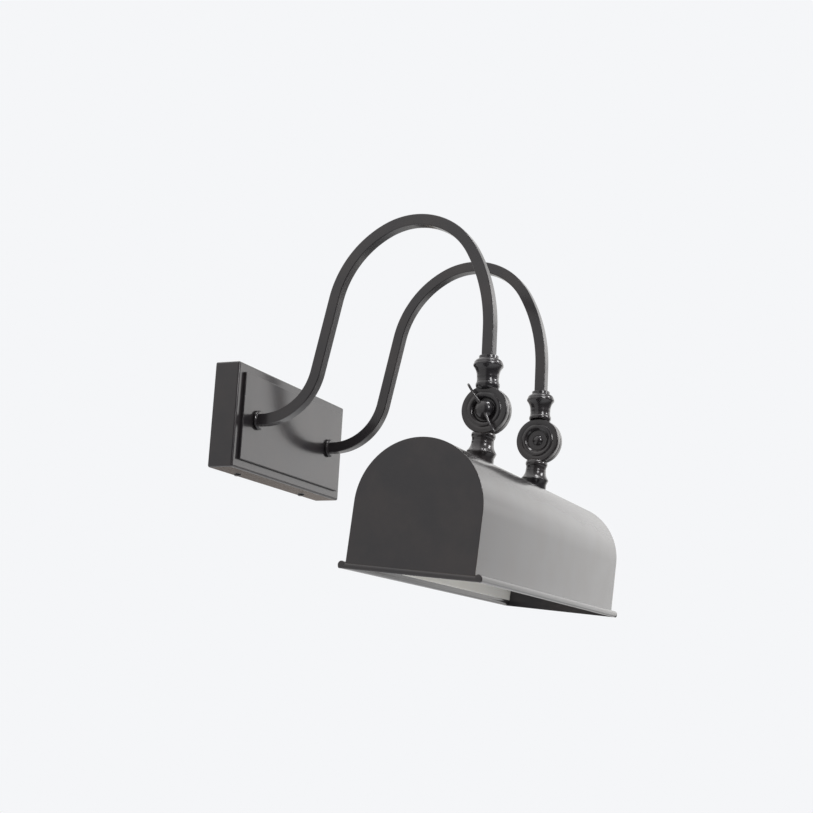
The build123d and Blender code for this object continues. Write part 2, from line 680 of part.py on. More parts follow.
for name, side in sides.items():
    with BuildPart() as socket_bracket:
        with BuildSketch(drop_plane(side * (leg_inside + strap_end) / 2, saddle_bottom)):
            Rectangle(strap_end - leg_inside, strap_width)
        extrude(amount=strap_thickness)
        with BuildSketch(drop_plane(side * (leg_inside + socket_back) / 2, strap_bottom)):
            Rectangle(strap_thickness, strap_width)
        extrude(amount=leg_end - strap_bottom)
        with BuildSketch(drop_plane(side * arm_x, saddle_bottom)):
            Circle(nipple_hole_radius)
        extrude(amount=strap_thickness, mode=Mode.SUBTRACT)
        with BuildSketch(lamp_cross_plane(side, leg_inside)):
            Circle(strap_wire_hole_radius)
            with Locations(*screw_places):
                Circle(strap_screw_hole_radius)
        extrude(amount=strap_thickness, mode=Mode.SUBTRACT)
    save(socket_bracket, f"socket_bracket_{name}")

    with BuildPart() as socket:
        with BuildSketch(lamp_cross_plane(side, socket_back)):
            Circle(socket_flange_radius)
        extrude(amount=socket_flange_length)
        with BuildSketch(lamp_cross_plane(side, socket_back)):
            Circle(socket_radius)
        extrude(amount=socket_length)
        rim = socket.edges().filter_by(GeomType.CIRCLE).sort_by(Axis.X, reverse=side > 0)[0]
        fillet(rim, socket_rim_radius)
        with BuildSketch(lamp_cross_plane(side, base_start - socket_bore_floor)):
            Circle(socket_bore_radius)
        extrude(amount=socket_length, mode=Mode.SUBTRACT)
        with BuildSketch(lamp_cross_plane(side, socket_back)):
            with Locations(*screw_places):
                Circle(socket_screw_hole_radius)
        extrude(amount=socket_flange_length - socket_hole_margin, mode=Mode.SUBTRACT)
    save(socket, f"socket_{name}")

    with BuildPart() as bulb_glass:
        with BuildSketch(lamp_plane(side)):
            with BuildLine():
                neck = Line((base_end, bulb_base_radius),
                            (base_end + bulb_neck_length, bulb_base_radius + bulb_neck_flare))
                shoulder_out, shoulder_radius = bulb_shoulder
                Spline(neck @ 1, (base_end + shoulder_out, shoulder_radius),
                       (bulb_end - bulb_radius, bulb_radius), tangents=(neck % 1, (1, 0)))
                RadiusArc((bulb_end - bulb_radius, bulb_radius), (bulb_end, 0), bulb_radius)
            with BuildLine():
                Line((bulb_end, 0), (base_end, 0))
                Line((base_end, 0), (base_end, bulb_base_radius))
            make_face()
        revolve(axis=lamp_axis(side))
        open_face = bulb_glass.faces().filter_by(GeomType.PLANE).sort_by(Axis.X, reverse=side < 0)[0]
        offset(amount=-bulb_glass_wall, openings=open_face)
    save(bulb_glass, f"bulb_glass_{name}")

with BuildPart() as socket_screws:
    for side in sides.values():
        with BuildSketch(lamp_cross_plane(side, leg_inside)):
            with Locations(*screw_places):
                Circle(socket_screw_head_radius)
        extrude(amount=-socket_screw_head_height)
        with BuildSketch(lamp_cross_plane(side, leg_inside)):
            with Locations(*screw_places):
                Circle(socket_screw_radius)
        extrude(amount=strap_thickness + socket_flange_length - socket_screw_margin)
save(socket_screws, "socket_screws")

with BuildPart() as socket_shells:
    for side in sides.values():
        shell_start = base_start - screw_shell_back
        with BuildSketch(lamp_cross_plane(side, shell_start)):
            Circle(socket_bore_radius - screw_shell_gap)
        extrude(amount=bulb_base_length)
        with BuildSketch(lamp_cross_plane(side, shell_start + screw_shell_wall)):
            Circle(socket_bore_radius - screw_shell_gap - screw_shell_wall)
        extrude(amount=bulb_base_length, mode=Mode.SUBTRACT)
save(socket_shells, "socket_shells")

with BuildPart() as bulb_bases:
    for side in sides.values():
        with BuildSketch(lamp_plane(side)):
            with BuildLine():
                Polyline((base_start, 0), (base_start, bulb_contact_radius),
                         (base_start + bulb_contact_height, bulb_base_radius),
                         (base_end, bulb_base_radius), (base_end, 0), (base_start, 0))
            make_face()
        revolve(axis=lamp_axis(side))
save(bulb_bases, "bulb_bases")
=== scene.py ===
import json
import math

import bmesh
import bpy
from mathutils import Matrix, Quaternion, Vector

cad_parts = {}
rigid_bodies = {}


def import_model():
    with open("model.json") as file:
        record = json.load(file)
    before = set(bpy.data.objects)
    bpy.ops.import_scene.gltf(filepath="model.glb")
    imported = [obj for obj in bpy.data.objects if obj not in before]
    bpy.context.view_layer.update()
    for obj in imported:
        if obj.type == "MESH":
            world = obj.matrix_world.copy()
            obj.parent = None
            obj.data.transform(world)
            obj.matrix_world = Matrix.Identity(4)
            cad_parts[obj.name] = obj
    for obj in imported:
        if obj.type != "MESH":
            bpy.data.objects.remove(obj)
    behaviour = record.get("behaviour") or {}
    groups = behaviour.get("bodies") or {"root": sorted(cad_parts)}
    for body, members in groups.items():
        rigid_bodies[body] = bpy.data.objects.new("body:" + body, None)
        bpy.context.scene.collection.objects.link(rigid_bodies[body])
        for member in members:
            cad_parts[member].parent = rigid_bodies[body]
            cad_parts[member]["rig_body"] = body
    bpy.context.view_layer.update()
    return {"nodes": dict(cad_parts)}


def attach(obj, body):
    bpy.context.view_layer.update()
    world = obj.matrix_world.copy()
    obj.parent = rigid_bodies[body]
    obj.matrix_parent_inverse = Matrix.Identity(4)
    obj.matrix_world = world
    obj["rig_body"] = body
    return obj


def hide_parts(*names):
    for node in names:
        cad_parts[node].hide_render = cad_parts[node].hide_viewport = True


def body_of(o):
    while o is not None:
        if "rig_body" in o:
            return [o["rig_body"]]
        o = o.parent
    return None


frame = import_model()

# Wall picture light in dark bronze: a rectangular canopy, two square-tube goosenecks, two clamped
# swivels with wing nuts, and one long arched shade with two lamps. Sizes are in millimetres and
# become metres where a mesh is made. +Z is up, the wall is the plane Y = 0, and left is -X.

MM = 0.001
SIDES = {"left": -1, "right": 1}

# ---------------------------------------------------------------- sizes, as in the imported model
ARM_X = 86.0
REACH = 315.0
TILT = math.radians(5.0)

CANOPY = (254.0, 120.65, 31.0)
CANOPY_WALL = 1.5
CANOPY_EDGE = 2.5
PANEL = (233.0, 99.65, 3.5)
PANEL_EDGE = 0.8
PANEL_FACE = CANOPY[2] + PANEL[2]

TUBE_SIDE = 12.7
TUBE_CORNER = 1.0
ROOT_END = 43.36
# radius and turn of each bend in order, with the straight leg after the first one
LOWER_BEND = (66.0, 78.3)
LEG = 86.0
UPPER_BENDS = ((110.5, 53.0), (80.7, 85.7), (183.4, 29.6))

DISC = 26.0
HALF_DISC = 8.25
DISC_GAP = 0.4
DISC_STEPS = 144
GROOVE = 26.35  # radius of the space cut for the other disc
UPPER_BORE = 3.08
LOWER_BORE = 3.05
PAST = 40.0  # how far a cutter reaches, well past what it cuts
FITTING_TOP = 60.6
RECESS = (12.6, 4.9)  # radius, and height of its floor above the disc's mid-plane
RING = (21.2, 19.2, 16.3, 13.3)  # radii of the raised ring: step, outer foot, crown, inner foot
NECK = 22.0  # where a stem or foot begins, inside the disc
WING_ANGLES = {"left": 59.0, "right": 90.0}  # below horizontal, on the side away from the wall

SHADE_HALF = 228.5
CAP_OUTSIDE = 227.7
CAP_INSIDE = 226.5
SHADE_RADIUS = 68.0
SHADE_WALL = 1.2
ARCH_DROP = 124.0
LIP_DROP = 186.0
BEAD_RADIUS = 3.8
BEAD_OUT = 71.9
LIP_STEPS, ROLL_STEPS = 6, 30  # points where the sheet leaves the straight, and round the roll
CAP_BOTTOM = 189.8
HEM = (5.4, 1.6)  # height, and how proud it stands

LAMP_DROP = 116.0
SOCKET_BACK = 47.5
BASE_START = 56.0
BASE_END = 81.0
BULB_END = 164.0
BULB_RADIUS = 30.0
GLASS_WALL = 0.9

TUBE_THREAD = (0.94, 0.17)  # pitch and depth
LAMP_PITCH = 3.6
LAMP_ROW = 0.6  # height of one row of faces along a lamp thread
LAMP_STEPS = 72

# edges sharper than these angles, in degrees, stay sharp
CREASE = 35.0
TUBE_CREASE = 30.0
CAST_CREASE = 40.0
FLAT_CREASE = 50.0
THREAD_CREASE = 60.0
WELD = 0.002  # points closer than this become one

OUT = Vector((0, -math.cos(TILT), -math.sin(TILT)))  # across the tilted shade, away from the wall
UP = Vector((0, -math.sin(TILT), math.cos(TILT)))  # up the tilted shade
PIVOT = Vector((0, -REACH, 0))


# ---------------------------------------------------------------- shader writing
class Wire:
    """A socket in a node tree that can be added, subtracted and multiplied as a number."""

    def __init__(self, tree, socket):
        self.tree, self.socket = tree, socket

    def maths(self, operation, other, swapped=False):
        pair = (other, self) if swapped else (self, other)
        return self.tree.node("ShaderNodeMath", {"operation": operation}, dict(enumerate(pair)))

    def __add__(self, other):
        return self.maths("ADD", other)

    def __radd__(self, other):
        return self.maths("ADD", other, True)

    def __sub__(self, other):
        return self.maths("SUBTRACT", other)

    def __rsub__(self, other):
        return self.maths("SUBTRACT", other, True)

    def __mul__(self, other):
        return self.maths("MULTIPLY", other)

    def __rmul__(self, other):
        return self.maths("MULTIPLY", other, True)


class Tree:
    """A shader node tree that is being written."""

    def __init__(self, owner):
        owner.use_nodes = True
        self.nodes, self.links = owner.node_tree.nodes, owner.node_tree.links
        self.nodes.clear()

    def node(self, kind, settings=None, sockets=None, output=0):
        """One node: its settings first, then values or wires for its sockets. Gives one output."""
        made = self.nodes.new(kind)
        for key, value in (settings or {}).items():
            setattr(made, key, value)
        for key, value in (sockets or {}).items():
            if isinstance(value, Wire):
                self.links.new(value.socket, made.inputs[key])
            else:
                made.inputs[key].default_value = value
        return Wire(self, made.outputs[output]) if made.outputs else None

    def place(self):
        """Coordinates in the object's own space, in metres."""
        return self.node("ShaderNodeTexCoord", output="Object")

    def stretched(self, scale):
        """The same coordinates, scaled along each axis."""
        return self.node("ShaderNodeMapping", sockets={"Vector": self.place(), "Scale": scale})

    def noise(self, scale, detail, where=None):
        return self.node("ShaderNodeTexNoise", sockets={
            "Vector": where or self.place(), "Scale": scale, "Detail": detail})

    def between(self, value, low, high, to_low=0.0, to_high=1.0):
        """A value smoothly carried from one range to another and held at its ends."""
        return self.node("ShaderNodeMapRange", {"interpolation_type": "SMOOTHSTEP"},
                         {"Value": value, "From Min": low, "From Max": high,
                          "To Min": to_low, "To Max": to_high})

    def mixed(self, amount, first, second):
        """Between two colours."""
        return self.node("ShaderNodeMix", {"data_type": "RGBA"},
                         {0: amount, 6: first, 7: second}, output=2)

    def bump(self, height, depth, under=None):
        sockets = {"Height": height, "Distance": depth * MM, "Strength": 1.0}
        if under is not None:
            sockets["Normal"] = under
        return self.node("ShaderNodeBump", sockets=sockets, output="Normal")

    def edges(self, radius):
        """One on flats, and less the sharper the edge within a radius in millimetres."""
        rounded = self.node("ShaderNodeBevel", {"samples": 4}, {"Radius": radius * MM})
        true = self.node("ShaderNodeNewGeometry", output="Normal")
        return self.node("ShaderNodeVectorMath", {"operation": "DOT_PRODUCT"},
                         {0: rounded, 1: true}, output="Value")

    def surface(self, constants, varying):
        skin = self.node("ShaderNodeBsdfPrincipled", sockets={**constants, **varying})
        self.node("ShaderNodeOutputMaterial", sockets={"Surface": skin})


def colour(red, green, blue):
    return (red, green, blue, 1.0)


def finish(name):
    material = bpy.data.materials.new(name)
    return material, Tree(material)


def dark_bronze():
    """Patinated bronze under clear lacquer: brown-black, glossy, a little rubbed on its edges."""
    material, tree = finish("dark_bronze")
    clouds = tree.noise(24.0, 4.0)
    speckle = tree.noise(900.0, 2.0)
    sheet = tree.noise(8.0, 1.0)
    peel = tree.noise(300.0, 2.0)
    worn = tree.between(tree.edges(0.9), 0.98, 0.8) * tree.between(clouds, 0.38, 0.68, 0.25, 1.0)
    patina = tree.mixed(tree.between(clouds, 0.3, 0.75), colour(0.027, 0.0252, 0.0285),
                        colour(0.039, 0.0335, 0.0345))
    patina = tree.mixed(tree.between(speckle, 0.62, 0.8, 0.0, 0.3), patina,
                        colour(0.06, 0.049, 0.043))
    tint = tree.mixed(worn * 0.4, patina, colour(0.15, 0.105, 0.07))
    relief = tree.bump(peel, 0.0006, tree.bump(sheet, 0.02))
    tree.surface(
        {"Specular IOR Level": 0.12, "Coat Roughness": 0.16, "Coat IOR": 1.5},
        {"Base Color": tint, "Metallic": 0.45 + worn * 0.3,
         "Roughness": tree.between(clouds, 0.25, 0.75, 0.4, 0.46),
         "Coat Weight": 1.0 - tree.between(speckle, 0.66, 0.85, 0.0, 0.12) - worn * 0.1,
         "Normal": relief})
    return material


def zinc_plate():
    """Bright zinc on pressed steel: cool grey-yellow, faintly spangled, with drawing marks."""
    material, tree = finish("zinc_plate")
    drawn = tree.noise(60.0, 3.0, tree.stretched((1.0, 18.0, 9.0)))
    spangle = tree.node("ShaderNodeTexVoronoi", {"feature": "F1"},
                        {"Vector": tree.place(), "Scale": 160.0}, output="Distance")
    stain = tree.noise(30.0, 4.0)
    tint = tree.mixed(tree.between(stain, 0.35, 0.75), colour(0.50, 0.50, 0.49),
                      colour(0.56, 0.52, 0.40))
    tint = tree.mixed(tree.between(spangle, 0.2, 0.9, 0.0, 0.25), tint, colour(0.36, 0.37, 0.38))
    tree.surface(
        {"IOR": 1.5},
        {"Base Color": tint, "Metallic": tree.between(stain, 0.2, 0.9, 1.0, 0.9),
         "Roughness": tree.between(drawn, 0.25, 0.75, 0.26, 0.42),
         "Normal": tree.bump(drawn, 0.012)})
    return material


def turned_metal(name, bright, dull, smooth, rough):
    """A machined plain metal with fine tool rings and a little tarnish."""
    material, tree = finish(name)
    tarnish = tree.noise(55.0, 4.0)
    marks = tree.noise(420.0, 2.0, tree.stretched((1.0, 0.15, 0.15)))
    tree.surface(
        {"IOR": 1.5},
        {"Base Color": tree.mixed(tree.between(tarnish, 0.4, 0.75), bright, dull),
         "Metallic": tree.between(tarnish, 0.3, 0.9, 1.0, 0.88),
         "Roughness": tree.between(marks, 0.3, 0.7, smooth, rough),
         "Normal": tree.bump(marks, 0.008)})
    return material


def glazed_porcelain():
    """White glazed ceramic with faint specks and a slightly rippled glaze."""
    material, tree = finish("glazed_porcelain")
    specks = tree.noise(700.0, 2.0)
    clouds = tree.noise(40.0, 3.0)
    tint = tree.mixed(tree.between(clouds, 0.3, 0.7), colour(0.78, 0.76, 0.71),
                      colour(0.83, 0.82, 0.79))
    tint = tree.mixed(tree.between(specks, 0.74, 0.82, 0.0, 0.6), tint, colour(0.25, 0.2, 0.15))
    tree.surface(
        {"Coat Roughness": 0.06, "IOR": 1.5},
        {"Base Color": tint, "Roughness": tree.between(clouds, 0.3, 0.7, 0.32, 0.42),
         "Coat Weight": tree.between(clouds, 0.2, 0.8, 0.85, 1.0),
         "Normal": tree.bump(tree.noise(150.0, 1.0), 0.02)})
    return material


def frosted_glass():
    """Lamp glass with a soft white coating inside."""
    material, tree = finish("frosted_glass")
    powder = tree.noise(300.0, 3.0)
    tree.surface(
        {"Transmission Weight": 0.35, "IOR": 1.46, "Coat Weight": 0.6, "Coat Roughness": 0.05},
        {"Base Color": tree.mixed(tree.between(powder, 0.3, 0.7), colour(0.90, 0.89, 0.86),
                                  colour(0.95, 0.945, 0.93)),
         "Roughness": tree.between(powder, 0.3, 0.7, 0.36, 0.46)})
    return material


def white_enamel():
    """Baked white reflector enamel: slightly warm, with orange peel and a dusty bloom."""
    material, tree = finish("white_enamel")
    peel = tree.noise(260.0, 2.0)
    dust = tree.noise(14.0, 5.0)
    tree.surface(
        {"Coat Roughness": 0.12, "IOR": 1.5},
        {"Base Color": tree.mixed(tree.between(dust, 0.35, 0.75), colour(0.86, 0.85, 0.82),
                                  colour(0.80, 0.78, 0.73)),
         "Roughness": tree.between(dust, 0.3, 0.7, 0.38, 0.5),
         "Coat Weight": tree.between(dust, 0.3, 0.8, 0.6, 0.35),
         "Normal": tree.bump(peel, 0.02)})
    return material


def vulcanised_fibre():
    """Pressed red-brown washer fibre with a matt, stringy face."""
    material, tree = finish("vulcanised_fibre")
    strands = tree.noise(500.0, 4.0, tree.stretched((1.0, 0.2, 1.0)))
    tree.surface(
        {"IOR": 1.45},
        {"Base Color": tree.mixed(tree.between(strands, 0.3, 0.7), colour(0.085, 0.03, 0.022),
                                  colour(0.16, 0.06, 0.04)),
         "Roughness": tree.between(strands, 0.3, 0.7, 0.62, 0.8),
         "Normal": tree.bump(strands, 0.03)})
    return material


def green_lacquer():
    """Green dyed earth screw, worn to bare zinc on its edges."""
    material, tree = finish("green_lacquer")
    clouds = tree.noise(200.0, 3.0)
    convex = tree.node("ShaderNodeNewGeometry", output="Pointiness")
    worn = tree.between(convex, 0.51, 0.6) * tree.between(clouds, 0.35, 0.65)
    tree.surface(
        {"IOR": 1.5, "Coat Roughness": 0.2},
        {"Base Color": tree.mixed(worn, colour(0.02, 0.19, 0.07), colour(0.5, 0.5, 0.45)),
         "Metallic": 0.6 + worn * 0.4, "Roughness": tree.between(clouds, 0.3, 0.7, 0.3, 0.45),
         "Coat Weight": 0.5 - worn * 0.5, "Normal": tree.bump(clouds, 0.02)})
    return material


BRONZE = dark_bronze()
ZINC = zinc_plate()
BRASS = turned_metal("raw_brass", colour(0.78, 0.55, 0.24), colour(0.50, 0.34, 0.16), 0.2, 0.34)
NICKEL = turned_metal("nickel_plate", colour(0.62, 0.59, 0.54), colour(0.47, 0.44, 0.39), 0.18, 0.3)
PORCELAIN = glazed_porcelain()
GLASS = frosted_glass()
ENAMEL = white_enamel()
FIBRE = vulcanised_fibre()
GREEN = green_lacquer()


# ---------------------------------------------------------------- mesh making
def frame_at(origin, along, across):
    """Local z runs along, local x runs across, in millimetres from an origin."""
    along, across = Vector(along).normalized(), Vector(across).normalized()
    turn = Matrix((across, along.cross(across), along)).transposed().to_4x4()
    return Matrix.Translation(Vector(origin)) @ turn


def linked(name, data):
    """A mesh, lamp or camera as an object in the scene."""
    piece = bpy.data.objects.new(name, data)
    bpy.context.scene.collection.objects.link(piece)
    return piece


def mesh_object(name, points, faces, materials, chosen=None, angle=CREASE):
    """A closed piece from points in millimetres, smooth up to an angle, facing outwards."""
    mesh = bpy.data.meshes.new(name)
    mesh.from_pydata([Vector(p) * MM for p in points], [], faces)
    for material in materials:
        mesh.materials.append(material)
    if chosen:
        mesh.polygons.foreach_set("material_index", chosen)
    return tidied(name, mesh, angle)


def tidied(name, mesh, angle=CREASE):
    """Merges doubles, turns the faces outwards and sets which edges stay sharp."""
    work = bmesh.new()
    work.from_mesh(mesh)
    bmesh.ops.remove_doubles(work, verts=work.verts, dist=WELD * MM)
    bmesh.ops.dissolve_degenerate(work, edges=work.edges, dist=WELD / 2 * MM)
    bmesh.ops.recalc_face_normals(work, faces=work.faces)
    work.to_mesh(mesh)
    work.free()
    mesh.polygons.foreach_set("use_smooth", [True] * len(mesh.polygons))
    mesh.set_sharp_from_angle(angle=math.radians(angle))
    mesh.update()
    return linked(name, mesh)


def applied(piece):
    """The piece's mesh with its modifiers applied, as a new mesh."""
    graph = bpy.context.evaluated_depsgraph_get()
    return bpy.data.meshes.new_from_object(piece.evaluated_get(graph))


def discard(*pieces):
    for piece in pieces:
        bpy.data.objects.remove(piece)


def fused(name, base, tools, angle=CREASE):
    """The base after each tool is added to it or cut from it; the tools are used up."""
    for operation, tool in tools:
        step = base.modifiers.new("shape", "BOOLEAN")
        step.operation, step.solver, step.object = operation, "EXACT", tool
        mesh = applied(base)
        discard(base, tool)
        base = tidied(name, mesh, angle)
    base.name = name
    return base


def merged(name, pieces, angle):
    """Several meshes as one piece."""
    work, materials = bmesh.new(), []
    for piece in pieces:
        slots = []
        for material in piece.data.materials:
            if material not in materials:
                materials.append(material)
            slots.append(materials.index(material))
        start = len(work.faces)
        work.from_mesh(piece.data)
        work.faces.ensure_lookup_table()
        for face in work.faces[start:]:
            face.material_index = slots[face.material_index]
    mesh = bpy.data.meshes.new(name)
    work.to_mesh(mesh)
    work.free()
    for material in materials:
        mesh.materials.append(material)
    discard(*pieces)
    return tidied(name, mesh, angle)


def level_faces(piece):
    """Broad faces keep one flat normal beside their rounded edges."""
    step = piece.modifiers.new("level", "WEIGHTED_NORMAL")
    step.keep_sharp, step.weight = True, 80
    return piece


def arc_through(first, via, last, steps=10):
    """Points on the circle through three points, from the first to the last."""
    (ax, ay), (bx, by), (cx, cy) = first, via, last
    twice = 2 * (ax * (by - cy) + bx * (cy - ay) + cx * (ay - by))
    a2, b2, c2 = ax * ax + ay * ay, bx * bx + by * by, cx * cx + cy * cy
    x = (a2 * (by - cy) + b2 * (cy - ay) + c2 * (ay - by)) / twice
    y = (a2 * (cx - bx) + b2 * (ax - cx) + c2 * (bx - ax)) / twice
    radius = math.hypot(ax - x, ay - y)
    start, middle, end = (math.atan2(q - y, p - x) for p, q in (first, via, last))
    whole = 2 * math.pi
    sweep = (end - start) % whole
    if (middle - start) % whole > sweep:
        sweep -= whole
    return [(x + radius * math.cos(start + sweep * i / steps),
             y + radius * math.sin(start + sweep * i / steps)) for i in range(steps + 1)]


def quarter(steps):
    """Angles from nothing to a right angle."""
    return [math.pi / 2 * i / steps for i in range(steps + 1)]


def eased(corners, radius, steps=4):
    """A polyline with its inner corners rounded; a third number gives one corner its own radius."""
    straight, longest = math.radians(172), 0.45
    result = [tuple(corners[0][:2])]
    for before, here, after in zip(corners, corners[1:], corners[2:]):
        size = here[2] if len(here) > 2 else radius
        p, q, r = Vector(before[:2]), Vector(here[:2]), Vector(after[:2])
        back, on = p - q, r - q
        if size <= 0 or back.length < 1e-6 or on.length < 1e-6:
            result.append(tuple(q))
            continue
        bend = back.angle(on)
        if bend > straight:
            result.append(tuple(q))
            continue
        reach = min(size / math.tan(bend / 2), longest * back.length, longest * on.length)
        start, end = q + back.normalized() * reach, q + on.normalized() * reach
        for i in range(steps + 1):
            t = i / steps
            result.append(tuple(start.lerp(q, t).lerp(q.lerp(end, t), t)))
    result.append(tuple(corners[-1][:2]))
    return result


def turned(name, profile, place, material, steps=96, ripple=None, angle=CREASE):
    """A lathe piece from (radius, height) points. A ripple adds to the radius by angle and height."""
    points, rings, faces = [], [], []
    for radius, height in profile:
        if radius < 1e-6:
            rings.append([len(points)])
            points.append(place @ Vector((0, 0, height)))
            continue
        ring = []
        for i in range(steps):
            turn = 2 * math.pi * i / steps
            wide = radius + (ripple(turn, height, radius) if ripple else 0)
            ring.append(len(points))
            points.append(place @ Vector((wide * math.cos(turn), wide * math.sin(turn), height)))
        rings.append(ring)
    closed = profile[0][0] > 1e-6 and profile[-1][0] > 1e-6
    for low, high in zip(rings, rings[1:] + ([rings[0]] if closed else [])):
        for i in range(steps):
            j = (i + 1) % steps
            face = list(dict.fromkeys((low[i % len(low)], low[j % len(low)],
                                       high[j % len(high)], high[i % len(high)])))
            if len(face) > 2:
                faces.append(face)
    return mesh_object(name, points, faces, [material], angle=angle)


def stacked(name, loops, materials, chosen=None, angle=CREASE):
    """Joins loops of equal count into a skin with a face over each end."""
    chosen = chosen or (lambda level, i: 0)
    points = [point for loop in loops for point in loop]
    count, faces, used = len(loops[0]), [], []
    for level in range(len(loops) - 1):
        for i in range(count):
            j = (i + 1) % count
            a, b = level * count, (level + 1) * count
            faces.append((a + i, a + j, b + j, b + i))
            used.append(chosen(level, i))
    faces.append(tuple(range(count)))
    faces.append(tuple(range((len(loops) - 1) * count, len(loops) * count)))
    used += [chosen(0, 0), chosen(len(loops) - 2, 0)]
    return mesh_object(name, points, faces, materials, used, angle)


def rounded_box(width, height, radius):
    """A rectangle's outline about the origin with rounded corners."""
    steps, least = 6, 0.02
    radius = max(radius, least)
    outline = []
    for corner, (sx, sy) in enumerate(((1, 1), (-1, 1), (-1, -1), (1, -1))):
        for i in range(steps + 1):
            turn = math.pi / 2 * (corner + i / steps)
            outline.append((sx * (width / 2 - radius) + radius * math.cos(turn),
                            sy * (height / 2 - radius) + radius * math.sin(turn)))
    return outline


def wall_loop(outline, distance):
    """An outline in the plane parallel to the wall at a distance from it."""
    return [Vector((x, -distance, z)) for x, z in outline]


def shade_point(x, across, drop):
    """A point on the tilted shade: along it, across it and down from the swivels' axis."""
    return PIVOT + Vector((x, 0, 0)) + OUT * across - UP * drop


def root_frame(side):
    """Local z runs away from the wall through a gooseneck's root."""
    return frame_at((side * ARM_X, 0, 0), (0, -1, 0), (1, 0, 0))


def swivel_centre(side):
    return PIVOT + Vector((side * ARM_X, 0, 0))


def hanging_frame(side):
    """Local z runs down the tilted shade from a swivel's middle."""
    return frame_at(swivel_centre(side), -UP, (1, 0, 0))


def refined(name, body, material, bevel):
    """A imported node's own shape with its edges broken and its curves smooth."""
    flat, edge = math.radians(0.8), math.radians(CAST_CREASE)
    mesh = frame["nodes"][name].data.copy()
    mesh.materials.clear()
    mesh.materials.append(material)
    work = bmesh.new()
    work.from_mesh(mesh)
    bmesh.ops.remove_doubles(work, verts=work.verts, dist=WELD * MM)
    bmesh.ops.dissolve_limit(work, angle_limit=flat, verts=work.verts, edges=work.edges)
    work.to_mesh(mesh)
    work.free()
    piece = linked(f"{name}_finished", mesh)
    mesh.polygons.foreach_set("material_index", [0] * len(mesh.polygons))
    mesh.polygons.foreach_set("use_smooth", [True] * len(mesh.polygons))
    mesh.set_sharp_from_angle(angle=edge)
    if bevel:
        step = piece.modifiers.new("broken_edges", "BEVEL")
        step.width, step.segments, step.limit_method = bevel * MM, 2, "ANGLE"
        step.angle_limit, step.harden_normals = edge, True
    stands_for(piece, name, body)
    return piece


def stands_for(piece, node, body):
    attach(piece, body)
    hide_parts(node)


# ---------------------------------------------------------------- canopy
def canopy():
    """A hollow box, open to the wall, from its inside floor round the wall's edge to its face."""
    width, height, depth = CANOPY
    floor, inner = depth - CANOPY_WALL, CANOPY_EDGE - CANOPY_WALL
    soft = 0.4  # how far the edge against the wall is broken
    levels = [(CANOPY_WALL + inner * (1 - math.sin(t)), inner * math.sin(t),
               floor - inner * (1 - math.cos(t))) for t in quarter(4)]
    levels += [(CANOPY_WALL, inner, soft), (CANOPY_WALL - soft, inner + soft, 0.0),
               (soft, CANOPY_EDGE - soft, 0.0), (0.0, CANOPY_EDGE, soft)]
    levels += [(CANOPY_EDGE * (1 - math.cos(t)), CANOPY_EDGE * math.cos(t),
                depth - CANOPY_EDGE * (1 - math.sin(t))) for t in quarter(8)]
    loops = [wall_loop(rounded_box(width - 2 * inset, height - 2 * inset, radius), distance)
             for inset, radius, distance in levels]
    piece = level_faces(stacked("canopy_body", loops, [BRONZE], angle=FLAT_CREASE))
    stands_for(piece, "canopy_box", "wall_side")


def raised_panel():
    width, height = PANEL[:2]
    loops = [wall_loop(rounded_box(width, height, PANEL_EDGE), CANOPY[2])]
    for turn in quarter(6):
        inset = PANEL_EDGE * (1 - math.cos(turn))
        outline = rounded_box(width - 2 * inset, height - 2 * inset, PANEL_EDGE - inset)
        loops.append(wall_loop(outline, PANEL_FACE - PANEL_EDGE * (1 - math.sin(turn))))
    piece = level_faces(stacked("canopy_raised_panel", loops, [BRONZE], angle=FLAT_CREASE))
    stands_for(piece, "canopy_panel", "wall_side")


canopy()
raised_panel()


# ---------------------------------------------------------------- goosenecks
def gooseneck_route():
    """The tube's centreline as (distance from the wall, height) points."""
    points = [(PANEL_FACE, 0.0), (ROOT_END, 0.0)]
    heading = 0.0

    def go(length):
        x, z = points[-1]
        points.append((x + length * math.cos(heading), z + length * math.sin(heading)))

    def bend(radius, degrees, way):
        nonlocal heading
        steps = round(degrees)  # about a degree each
        step = way * math.radians(degrees) / steps
        for _ in range(steps):
            heading += step / 2
            go(2 * radius * math.sin(abs(step) / 2))
            heading += step / 2

    bend(*LOWER_BEND, 1)
    go(LEG)
    for radius, degrees in UPPER_BENDS:
        bend(radius, degrees, -1)
    points.append((points[-1][0], FITTING_TOP))
    return points


